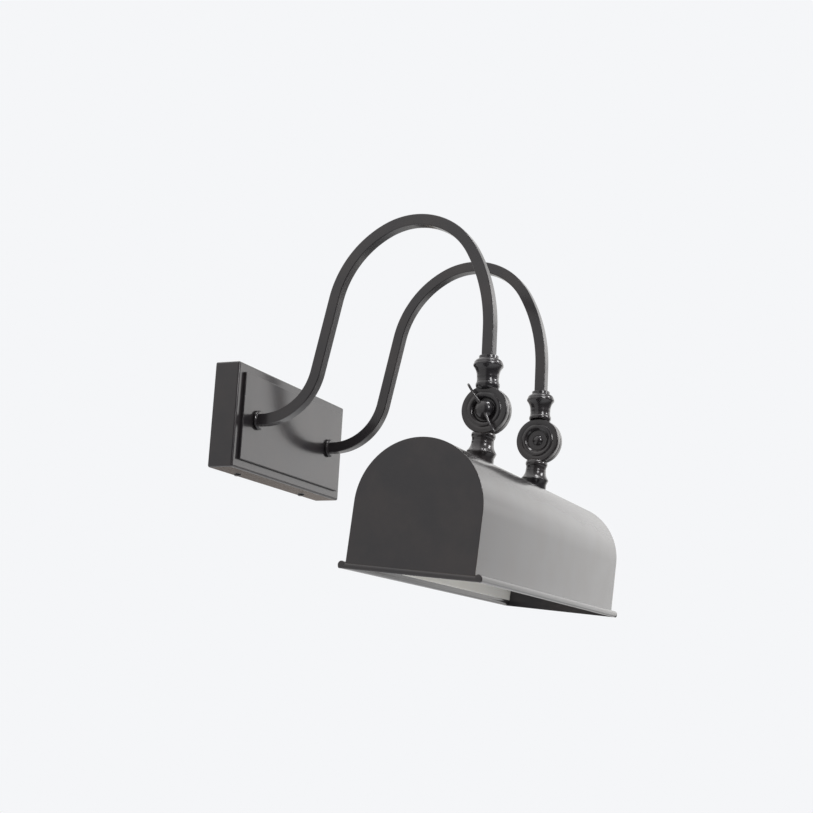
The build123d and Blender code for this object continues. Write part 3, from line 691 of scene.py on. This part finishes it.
def tube_tree():
    """Geometry nodes: a square tube with rounded corners along a line of edges."""
    tree = bpy.data.node_groups.new("square_tube", "GeometryNodeTree")
    for socket, way, kind in (("Route", "INPUT", "Geometry"), ("Side", "INPUT", "Float"),
                              ("Corner radius", "INPUT", "Float"), ("Finish", "INPUT", "Material"),
                              ("Tube", "OUTPUT", "Geometry")):
        tree.interface.new_socket(socket, in_out=way, socket_type=f"NodeSocket{kind}")
    source, result, line, square, corner, tube, real, paint = (tree.nodes.new(kind) for kind in (
        "NodeGroupInput", "NodeGroupOutput", "GeometryNodeMeshToCurve",
        "GeometryNodeCurvePrimitiveQuadrilateral", "GeometryNodeFilletCurve",
        "GeometryNodeCurveToMesh", "GeometryNodeRealizeInstances", "GeometryNodeSetMaterial"))
    corner.mode = "POLY"
    corner.inputs["Count"].default_value = 5
    tube.inputs["Fill Caps"].default_value = True
    for start, end in ((source.outputs["Route"], line.inputs["Mesh"]),
                       (source.outputs["Side"], square.inputs["Width"]),
                       (source.outputs["Side"], square.inputs["Height"]),
                       (square.outputs["Curve"], corner.inputs["Curve"]),
                       (source.outputs["Corner radius"], corner.inputs["Radius"]),
                       (line.outputs["Curve"], tube.inputs["Curve"]),
                       (corner.outputs["Curve"], tube.inputs["Profile Curve"]),
                       (tube.outputs["Mesh"], real.inputs["Geometry"]),
                       (real.outputs["Geometry"], paint.inputs["Geometry"]),
                       (source.outputs["Finish"], paint.inputs["Material"]),
                       (paint.outputs["Geometry"], result.inputs["Tube"])):
        tree.links.new(start, end)
    return tree


def grown(name, points, edges, tree, inputs):
    """A plain mesh grown by geometry nodes from points and edges, in millimetres."""
    mesh = bpy.data.meshes.new(name)
    mesh.from_pydata([Vector(p) * MM for p in points], edges, [])
    seed = linked(name, mesh)
    step = seed.modifiers.new("grow", "NODES")
    step.node_group = tree
    sockets = {item.name: item.identifier for item in tree.interface.items_tree
               if item.item_type == "SOCKET" and item.in_out == "INPUT"}
    for key, value in inputs.items():
        step[sockets[key]] = value
    result = applied(seed)
    discard(seed)
    return tidied(name, result, TUBE_CREASE)


ROUTE = gooseneck_route()
TUBE = tube_tree()
COLLAR = ((0, 34.5), (10.2, 34.5), (11.2, 35.9), (11.2, 37.5), (9.6, 38.9), (0, 38.9))
for name, side in SIDES.items():
    points = [(side * ARM_X, -distance, height) for distance, height in ROUTE]
    edges = [(i, i + 1) for i in range(len(points) - 1)]
    arm = grown(f"gooseneck_{name}", points, edges, TUBE,
                {"Side": TUBE_SIDE * MM, "Corner radius": TUBE_CORNER * MM, "Finish": BRONZE})
    stands_for(level_faces(arm), f"arm_{name}", "wall_side")

    collar = turned(f"root_collar_{name}", eased(COLLAR, 0.7), root_frame(side), BRONZE)
    stands_for(collar, f"collar_{name}", "wall_side")


# ---------------------------------------------------------------- swivels
def swivel_frame(side, outwards=1):
    """Local z runs along the swivel's axis, outwards from that swivel's middle or inwards."""
    return frame_at(swivel_centre(side), (side * outwards, 0, 0), (0, -1, 0))


def disc_profile(bore):
    """Half of the swivel's disc: rounded rim, stepped face ring and a recess, about its mid-plane."""
    step, outer, crown, inner = RING
    start, top, end = (outer, HALF_DISC - 0.3), (crown, HALF_DISC + 0.6), (inner, HALF_DISC - 0.9)
    well, floor = RECESS
    outline = eased([(bore, DISC_GAP, 0), (DISC, DISC_GAP, 0.5), (DISC, HALF_DISC, 1.5),
                     (step, HALF_DISC, 1.6), (*start, 0)], 0.5, 6)
    outline += arc_through(start, top, end, 14)[1:]
    outline += eased([(*end, 0), (well, HALF_DISC - 1.4, 0.3), (well, floor, 0.4),
                      (bore, floor, 0)], 0.3)[1:]
    return outline


def swivel_cutter(side, outwards):
    """Clears the half of a stem or foot where the other disc turns."""
    return turned("cutter", [(0, DISC_GAP), (GROOVE, DISC_GAP), (GROOVE, PAST), (0, PAST)],
                  swivel_frame(side, outwards), BRONZE, steps=DISC_STEPS)


def neck_start():
    return [(0, NECK)] + arc_through((9, NECK), (12, 24.2), (13, 27.6))


def upper_stem():
    """The fitting above a disc, with its flange, as (radius, distance) points."""
    profile = neck_start() + arc_through((13, 27.6), (12.75, 29.3), (12, 30.6), 6)[1:]
    profile += arc_through((12, 31.2), (11.75, 33.8), (12, 36.5), 6)
    profile += arc_through((12, 36.5), (13.1, 43.2), (16.0, 48.2), 14)[1:]
    profile += eased([(16.0, 48.2), (16.3, 48.8), (16.3, 50.2), (15.9, 50.9), (15.7, 51.3)],
                     0.4, 3)[1:]
    profile += arc_through((15.7, 51.3), (14.6, 54.0), (11.6, 56.0), 12)[1:]
    profile += eased([(11.6, 56.0), (10.6, 56.5, 0.3), (10.6, 59.9, 0.6), (0, FITTING_TOP)], 0.4)[1:]
    return profile


def lower_foot():
    """The fitting below a disc, with its flange, as (radius, distance) points."""
    profile = neck_start() + arc_through((13, 27.6), (12.75, 29.2), (12, 30.4), 6)[1:]
    profile += arc_through((12, 30.9), (11.8, 33.0), (12, 35), 6)
    profile += arc_through((12, 35), (13.0, 40.6), (15.6, 44.7), 14)[1:]
    profile += eased([(15.6, 44.7), (15.9, 45.2), (15.9, 46.6), (15.4, 47.6), (14.4, 50.3),
                      (14.2, 51), (14.2, 58.5)], 0.45, 3)[1:]
    return profile + [(0, 58.5)]


# distance from the axis, distance from the disc's mid-plane, half width, half thickness
WING_STATIONS = (
    (3.0, 10.6, 2.6, 2.5), (8.0, 11.2, 2.6, 2.1), (12.0, 12.4, 2.7, 1.7), (16.0, 14.2, 2.75, 1.4),
    (20.0, 15.5, 2.6, 1.25), (24.0, 16.2, 2.5, 1.25), (27.5, 16.3, 2.5, 1.3),
    (29.6, 16.25, 2.1, 1.25), (30.7, 16.2, 1.4, 0.95), (31.15, 16.2, 0.7, 0.5))


def wing_nut(name, side):
    """A domed hub with two leaf-shaped wings that lean away from the disc."""
    hub = eased([(0, 6.1), (9.8, 6.1), (10.4, 6.8), (10.4, 8.5, 0)], 0.3)
    hub += arc_through((10.4, 8.5), (6.9, 12.7), (0.01, 14.3), 14)[1:-1] + [(0, 14.3)]
    body = turned("hub", hub, swivel_frame(side), BRONZE)
    lean = math.radians(WING_ANGLES[name])
    radial = Vector((0, -math.cos(lean), -math.sin(lean)))
    axial = Vector((side, 0, 0))
    flat = axial.cross(radial)
    around = [(math.cos(turn), math.sin(turn)) for turn in (2 * math.pi * i / 24 for i in range(24))]
    wings = []
    for way in (1, -1):
        loops = []
        for far, out, half_width, half_thick in WING_STATIONS:
            middle = swivel_centre(side) + radial * (way * far)
            loops.append([middle + axial * (out + math.copysign(abs(c) ** 0.8, c) * half_width)
                          + flat * (s * half_thick) for c, s in around])
        wings.append(("UNION", stacked("wing", loops, [BRONZE])))
    piece = fused(f"wing_nut_{name}_cast", body, wings, CAST_CREASE)
    stands_for(piece, f"wing_nut_{name}", f"wing_nut_{name}")


for name, side in SIDES.items():
    stem = turned("stem", upper_stem(), frame_at(swivel_centre(side), (0, 0, 1), (1, 0, 0)), BRONZE)
    disc = turned("disc", disc_profile(UPPER_BORE), swivel_frame(side), BRONZE, DISC_STEPS)
    upper = fused(f"swivel_upper_{name}", stem,
                  (("DIFFERENCE", swivel_cutter(side, -1)), ("UNION", disc)))
    stands_for(upper, f"upper_knuckle_{name}", "wall_side")

    foot = turned("foot", lower_foot(), hanging_frame(side), BRONZE)
    # the foot's end follows the shade's arch
    ridge = turned("ridge", [(0, -PAST), (SHADE_RADIUS, -PAST), (SHADE_RADIUS, PAST), (0, PAST)],
                   frame_at(shade_point(side * ARM_X, 0, ARCH_DROP), (1, 0, 0), UP), BRONZE, 360)
    disc = turned("disc", disc_profile(LOWER_BORE), swivel_frame(side, -1), BRONZE, DISC_STEPS)
    lower = fused(f"swivel_lower_{name}", foot,
                  (("DIFFERENCE", ridge), ("DIFFERENCE", swivel_cutter(side, 1)), ("UNION", disc)))
    stands_for(lower, f"lower_knuckle_{name}", "shade")
    wing_nut(name, side)

bolts = []
for side in SIDES.values():
    head = arc_through((0.01, 9.3), (3.6, 8.45), (6.0, 6.7), 12)
    shank = eased([(6.0, 6.7), (6.0, 5.9), (3.0, 5.9), (3.0, -10.9), (2.4, -11.4), (0, -11.4)], 0.2)
    bolts.append(turned("bolt", [(0, 9.3)] + head[1:] + shank[1:], swivel_frame(side, -1), BRONZE))
stands_for(merged("swivel_bolts", bolts, CREASE), "pivot_bolts", "shade")


# ---------------------------------------------------------------- shade
def sheet_line():
    """Centreline of the sheet from the middle of the arch down one side and round the roll, as
    (across, drop) points."""
    middle = SHADE_RADIUS - SHADE_WALL / 2
    roll = BEAD_RADIUS - SHADE_WALL / 2
    line = [(middle * math.sin(turn), ARCH_DROP - middle * math.cos(turn)) for turn in quarter(45)]
    straight = LIP_DROP - 4.0
    line += [(middle, ARCH_DROP + (straight - ARCH_DROP) * i / 4) for i in range(1, 5)]
    side_of_roll = BEAD_OUT - roll
    for i in range(1, LIP_STEPS + 1):
        t = i / LIP_STEPS
        ease = t * t * (3 - 2 * t)
        line.append((middle + (side_of_roll - middle) * ease, straight + (LIP_DROP - straight) * t))
    for i in range(1, ROLL_STEPS + 1):
        turn = math.radians(180 - 318 * i / ROLL_STEPS)
        line.append((BEAD_OUT + roll * math.cos(turn), LIP_DROP + roll * math.sin(turn)))
    return line


def offset_line(line, distance):
    """A copy of a line of points at a distance to its left."""
    moved = []
    for i, (x, y) in enumerate(line):
        ax, ay = line[max(i - 1, 0)]
        bx, by = line[min(i + 1, len(line) - 1)]
        length = math.hypot(bx - ax, by - ay)
        moved.append((x - (by - ay) / length * distance, y + (bx - ax) / length * distance))
    return moved


def shade_shell():
    right = sheet_line()
    whole = [(-x, d) for x, d in reversed(right[1:])] + right
    outside = offset_line(whole, -SHADE_WALL / 2)
    inside = offset_line(whole, SHADE_WALL / 2)
    outline = outside + inside[::-1]
    count = len(outside)
    rolled = LIP_STEPS + ROLL_STEPS  # points past the straight, which stay bronze inside too
    half = [75, 150, CAP_INSIDE - 0.3, CAP_INSIDE]
    stations = [-x for x in half[::-1]] + [0] + half
    loops = [[shade_point(x, across, drop) for across, drop in outline] for x in stations]

    def material(level, i):
        return 1 if count + rolled <= i < 2 * count - rolled else 0

    parts = [stacked("shell", loops, [BRONZE, ENAMEL], material, CAST_CREASE)]
    # a plug that closes each end of both rolls, out to the shade's full length
    plug = CAP_INSIDE - 0.4
    core = eased([(0, CAP_INSIDE - 6), (3.0, CAP_INSIDE - 6, 0), (3.0, plug, 0), (BEAD_RADIUS, plug, 0.2),
                  (BEAD_RADIUS, SHADE_HALF, 1.1), (0, SHADE_HALF)], 0.4, 5)
    for side in SIDES.values():
        for edge in (-1, 1):
            place = frame_at(shade_point(0, edge * BEAD_OUT, LIP_DROP), (side, 0, 0), UP)
            parts.append(turned("bead_end", core, place, BRONZE, steps=48))
    piece = merged("shade_sheet", parts, CAST_CREASE)
    stands_for(piece, "shade_shell", "shade")


def arch_outline(inset):
    """The end cap's outline, pulled in by an inset, clockwise from one bottom corner."""
    side, top = SHADE_RADIUS - inset, CAP_BOTTOM - inset
    outline = [(side, top), (side, ARCH_DROP)]
    outline += [(side * math.cos(math.pi * i / 64), ARCH_DROP - side * math.sin(math.pi * i / 64))
                for i in range(1, 64)]
    return outline + [(-side, ARCH_DROP), (-side, top)]


def shade_cap(name, side):
    """A flat end plate with a rolled hem along its bottom that runs into both beads."""
    soft = 0.45
    face = CAP_OUTSIDE - 0.4
    levels = [(CAP_INSIDE, 0.0), (CAP_INSIDE + 0.3, 0.0)]
    levels += [(face - soft + soft * math.sin(t), soft * (1 - math.cos(t))) for t in quarter(5)]
    loops = [[shade_point(side * x, across, drop) for across, drop in arch_outline(inset)]
             for x, inset in levels]
    plate = stacked("plate", loops, [BRONZE], angle=FLAT_CREASE)

    high, proud = HEM
    section = [(high / 2 - high / 2 * math.cos(t), proud * math.sin(t) ** 0.7)
               for t in (math.pi * i / 18 for i in range(19))]
    reach = BEAD_OUT + BEAD_RADIUS
    # each end closes in rings: distance from the end, share of the full section
    rings = ((0.0, 0.25), (0.25, 0.62), (0.8, 0.88), (1.8, 1.0))
    places = [(inset - reach, share) for inset, share in rings]
    places += [(reach - inset, share) for inset, share in rings[::-1]]
    middle, foot = CAP_BOTTOM - high / 2, CAP_OUTSIDE - 1.0
    loops = [[shade_point(side * (foot + (out + 0.2) * share), across, middle - (up - high / 2) * share)
              for up, out in section] for across, share in places]
    hem = stacked("hem", loops, [BRONZE], angle=FLAT_CREASE)
    piece = level_faces(merged(f"shade_end_{name}", [plate, hem], FLAT_CREASE))
    stands_for(piece, f"shade_cap_{name}", "shade")


shade_shell()
for name, side in SIDES.items():
    shade_cap(name, side)


# ---------------------------------------------------------------- threads and lamps
def thread(pitch, depth, start, end):
    """A helical ripple that fades out over one turn at each end of its length."""
    def ripple(turn, height, radius):
        fade = min(1.0, max(0.0, (height - start) / pitch), max(0.0, (end - height) / pitch))
        return depth * fade * math.cos(2 * math.pi * height / pitch - turn)
    return ripple


def even(start, end, step):
    """Heights from start to end, about a step apart."""
    count = max(2, round((end - start) / step))
    return [start + (end - start) * i / count for i in range(count + 1)]


def threaded_tubes(name, node, body, start, end, place):
    """One threaded zinc tube on each side as one piece; place gives a side's frame."""
    radius, bore, soft = 4.8, 3.3, 0.6
    pitch, depth = TUBE_THREAD
    outer = [(radius - 0.18, height) for height in even(start, end, pitch / 6)]
    profile = [(bore, start), (radius - soft, start)] + outer[1:-1] + [(radius - soft, end), (bore, end)]
    ridges = thread(pitch, depth, start, end)

    def ripple(turn, height, wide):
        return ridges(turn, height, wide) if wide > radius - 0.5 else 0.0

    tubes = [turned("tube", profile, place(side), ZINC, 32, ripple, THREAD_CREASE)
             for side in SIDES.values()]
    stands_for(merged(name, tubes, THREAD_CREASE), node, body)


threaded_tubes("arm_threaded_tubes", "arm_nipples", "wall_side", 21.8, 44.5, root_frame)
threaded_tubes("shade_threaded_tubes", "shade_nipples", "shade", 43.0, 69.4, hanging_frame)


def lamp_frame(side):
    """Local z runs outwards along a lamp's axis from the middle of the shade."""
    return frame_at(shade_point(0, 0, LAMP_DROP), (side, 0, 0), UP)


def bulb_profile():
    """Outside of the lamp glass as (radius, distance) points, neck first."""
    profile = [(13.0, BASE_END), (13.1, BASE_END + 2), (13.4, BASE_END + 4)]
    start, end = Vector((BASE_END + 4, 13.4)), Vector((BULB_END - BULB_RADIUS, BULB_RADIUS))
    lead = Vector((22.0, 3.4)), Vector((-22.0, 0.0))
    for i in range(1, 15):
        t = i / 14
        a, b = start + lead[0], end + lead[1]
        p = start * (1 - t) ** 3 + a * 3 * t * (1 - t) ** 2 + b * 3 * t * t * (1 - t) + end * t ** 3
        profile.append((p.y, p.x))
    profile += [(BULB_RADIUS * math.cos(turn), BULB_END - BULB_RADIUS + BULB_RADIUS * math.sin(turn))
                for turn in quarter(24)[1:-1]]
    return profile + [(0, BULB_END)]


def glass_profile():
    """The lamp glass as a closed wall: its outside, then its inside."""
    outer = bulb_profile()
    inner = []
    for i, (radius, along) in enumerate(outer):
        before, after = outer[max(i - 1, 0)], outer[min(i + 1, len(outer) - 1)]
        slope = Vector((after[0] - before[0], after[1] - before[1])).normalized()
        inner.append((max(radius - GLASS_WALL * slope.y, 0.0), along + GLASS_WALL * slope.x))
    inner[-1] = (0, BULB_END - GLASS_WALL)
    return outer[::-1] + inner


LAMPHOLDER = [(0, 53.5), (13.8, 53.5)] + eased(
    [(14.2, 53.5, 0.2), (14.2, 81.5, 0.5), (17.0, 81.5, 1.2), (17.0, 55.6, 1.0), (19.5, 54.2, 1.0),
     (19.5, SOCKET_BACK, 0.8), (0, SOCKET_BACK)], 0.4, 5)[1:]
for name, side in SIDES.items():
    cup = turned(f"lampholder_{name}", LAMPHOLDER, lamp_frame(side), PORCELAIN, LAMP_STEPS)
    stands_for(cup, f"socket_{name}", "shade")
    glass = turned(f"lamp_glass_{name}", glass_profile(), lamp_frame(side), GLASS, LAMP_STEPS,
                   angle=THREAD_CREASE)
    stands_for(glass, f"bulb_glass_{name}", "shade")

shells, bases = [], []
for side in SIDES.values():
    heights = even(54.0, 79.0, LAMP_ROW)
    ripple = thread(LAMP_PITCH, 0.35, 56.0, 78.0)
    profile = [(13.7, h) for h in heights] + [(13.35, h) for h in heights[::-1]]
    shells.append(turned("shell", profile, lamp_frame(side), BRASS, 48, ripple, THREAD_CREASE))
    start = BASE_START + 3.5
    ripple = thread(LAMP_PITCH, 0.38, start, BASE_END - 3.0)
    profile = [(0, BASE_START), (4.0, BASE_START), (4.5, BASE_START + 0.6), (8.5, BASE_START + 2.2)]
    profile += [(12.55, h) for h in even(start, BASE_END, LAMP_ROW)] + [(0, BASE_END)]
    bases.append(turned("base", profile, lamp_frame(side), NICKEL, 48, ripple, THREAD_CREASE))
stands_for(merged("screw_shells", shells, THREAD_CREASE), "socket_shells", "shade")
stands_for(merged("lamp_bases", bases, THREAD_CREASE), "bulb_bases", "shade")

# ---------------------------------------------------------------- pressed and cut hardware
# node, slot, material, width of its broken edges
HARDWARE = (
    ("wall_bracket", "zinc", ZINC, 0.3),
    ("arm_washers", "zinc", ZINC, 0.2),
    ("arm_lock_nuts", "zinc", ZINC, 0.45),
    ("ground_screw", "green_screw", GREEN, 0.2),
    ("canopy_screws", "bronze", BRONZE, 0.2),
    ("swivel_washers", "fibre", FIBRE, 0.0),
    ("wing_washers", "bronze", BRONZE, 0.25),
    ("bolt_washers", "bronze", BRONZE, 0.25),
    ("shade_washers", "zinc", ZINC, 0.2),
    ("shade_lock_washers", "zinc", ZINC, 0.2),
    ("shade_lock_nuts", "zinc", ZINC, 0.45),
    ("socket_bracket_left", "zinc", ZINC, 0.3),
    ("socket_bracket_right", "zinc", ZINC, 0.3),
    ("socket_screws", "zinc", ZINC, 0.3),
)
for node, slot, material, bevel in HARDWARE:
    refined(node, body_of(frame["nodes"][node])[0], material, bevel)


# ---------------------------------------------------------------- floor, light and camera
FLOOR_RADIUS, FLOOR_RINGS = 1700.0, 12
FLOOR_AT = (0, -0.187, -0.6)  # the rest of this section is in metres
WINDOW = Vector((0.90, -0.42, 0.10)).normalized()
LIT = Vector((0, -0.25, 0.0))
# azimuth from +X towards +Y, elevation, distance, width, height, watts
SOFTBOXES = {
    "front_left_softbox": (232, 22, 1.7, 0.42, 0.5, 9.0),
    "front_right_softbox": (284, 30, 1.7, 0.45, 0.6, 14.0),
    "high_softbox": (250, 68, 1.6, 0.6, 0.4, 10.0),
}
CAMERA_AT = (-1.3865, -0.8339, -0.3013)
CAMERA_TURNS = (21.686, 11.808, 2.39)  # yaw, pitch and roll
LENS, SHIFT = 59.52, (-0.1, 0.015)


def direction(azimuth, elevation):
    """The unit direction at an azimuth and an elevation in degrees."""
    turn, lift = math.radians(azimuth), math.radians(elevation)
    return Vector((math.cos(lift) * math.cos(turn), math.cos(lift) * math.sin(turn), math.sin(lift)))


def pale_floor():
    """Plain pale ground that fades into the backdrop away from the object."""
    material, tree = finish("pale_floor")
    far = tree.node("ShaderNodeVectorMath", {"operation": "LENGTH"}, {0: tree.place()}, output="Value")
    grain = tree.noise(3.0, 2.0)
    skin = tree.node("ShaderNodeBsdfDiffuse", sockets={
        "Color": tree.mixed(tree.between(grain, 0.3, 0.7), colour(0.86, 0.865, 0.87),
                            colour(0.88, 0.885, 0.89))})
    glow = tree.node("ShaderNodeEmission", sockets={
        "Color": colour(0.905, 0.913, 0.93), "Strength": 1.0})
    gone = tree.node("ShaderNodeBsdfTransparent")
    solid = tree.node("ShaderNodeMixShader", sockets={0: 0.72, 1: skin, 2: glow})
    faded = tree.node("ShaderNodeMixShader", sockets={0: tree.between(far, 0.5, 1.6), 1: solid, 2: gone})
    tree.node("ShaderNodeOutputMaterial", sockets={"Surface": faded})
    return material


def floor():
    rings = [(FLOOR_RADIUS * i / FLOOR_RINGS, 0.0) for i in range(FLOOR_RINGS + 1)]
    disc = turned("floor", rings, Matrix.Identity(4), pale_floor(), 64)
    disc.location = FLOOR_AT


def studio():
    """Pale all round for the eye; for reflections a white wall behind, a dark room in front of the
    object and one large bright window low on its right."""
    world = bpy.data.worlds.new("studio")
    bpy.context.scene.world = world
    tree = Tree(world)
    towards = tree.node("ShaderNodeTexCoord", output="Generated")
    parts = tree.node("ShaderNodeSeparateXYZ", sockets={0: towards})
    x, y, z = (Wire(tree, socket) for socket in parts.socket.node.outputs)
    # the wall behind the object, a little darker low down, and the dark room in front of it
    wall = tree.between(y, -0.12, 0.16, 0.12, 1.0) * tree.between(z, 0.15, 0.36, 0.68, 0.98)
    # the window, brightest on the side away from the wall, with a dark sill and one dark bar
    facing = x * WINDOW.x + y * WINDOW.y + z * WINDOW.z
    pane = tree.between(facing, 0.80, 0.965, 0.0, 1.4) * tree.between(y, -0.52, -0.4, 1.32, 1.0)
    sill = tree.between(y, -0.4, -0.44) * tree.between(z, 0.13, 0.09)
    bar = tree.between(y, -0.335, -0.355) * tree.between(y, -0.45, -0.42)
    bar = bar * tree.between(z, 0.2, 0.225) * tree.between(z, 0.44, 0.36)
    light = wall + pane * (1.0 - bar * 0.9) * (1.0 - sill * 0.85)
    ceiling = tree.between(z, 0.45, 0.95, 0.0, 0.45)
    ground = tree.between(z, -0.85, -0.5, 0.7, 0.0)
    # the wall lies in shade just under the canopy, on its far side
    shaded = tree.between(z, -0.04, -0.1) * tree.between(z, -0.26, -0.22) * tree.between(x, 0.2, 0.6)
    shaded = shaded * tree.between(y, 0.4, 0.45) * tree.between(y, 0.46, 0.53, 0.8, 1.0)
    level = (light + ceiling + ground) * (1.0 - shaded * 0.8)
    seen = tree.node("ShaderNodeLightPath", output="Is Camera Ray")
    backdrop = tree.node("ShaderNodeBackground", sockets={
        "Color": colour(0.913, 0.921, 0.939), "Strength": 1.0})
    hue = tree.mixed(shaded, colour(1.0, 0.992, 0.98), colour(1.0, 0.80, 0.66))
    lighting = tree.node("ShaderNodeBackground", sockets={"Color": hue, "Strength": level})
    both = tree.node("ShaderNodeMixShader", sockets={0: seen, 1: lighting, 2: backdrop})
    tree.node("ShaderNodeOutputWorld", sockets={"Surface": both})


def softbox(name, azimuth, elevation, distance, width, height, watts):
    """A rectangular soft light aimed at the object."""
    lamp = bpy.data.lights.new(name, "AREA")
    lamp.shape, lamp.size, lamp.size_y, lamp.energy = "RECTANGLE", width, height, watts
    away = direction(azimuth, elevation)
    light = linked(name, lamp)
    light.location = LIT + away * distance
    light.rotation_euler = (-away).to_track_quat("-Z", "Y").to_euler()


def camera():
    lens = bpy.data.cameras.new("camera")
    lens.sensor_width = 36.0
    lens.lens = LENS
    lens.shift_x, lens.shift_y = SHIFT
    yaw, pitch, roll = CAMERA_TURNS
    view = linked("camera", lens)
    view.location = CAMERA_AT
    view.rotation_mode = "QUATERNION"
    spin = Quaternion((0, 0, 1), math.radians(roll))
    view.rotation_quaternion = direction(yaw, pitch).to_track_quat("-Z", "Y") @ spin
    bpy.context.scene.camera = view


floor()
studio()
for name, values in SOFTBOXES.items():
    softbox(name, *values)
camera()

bpy.context.scene.view_settings.view_transform = "Standard"
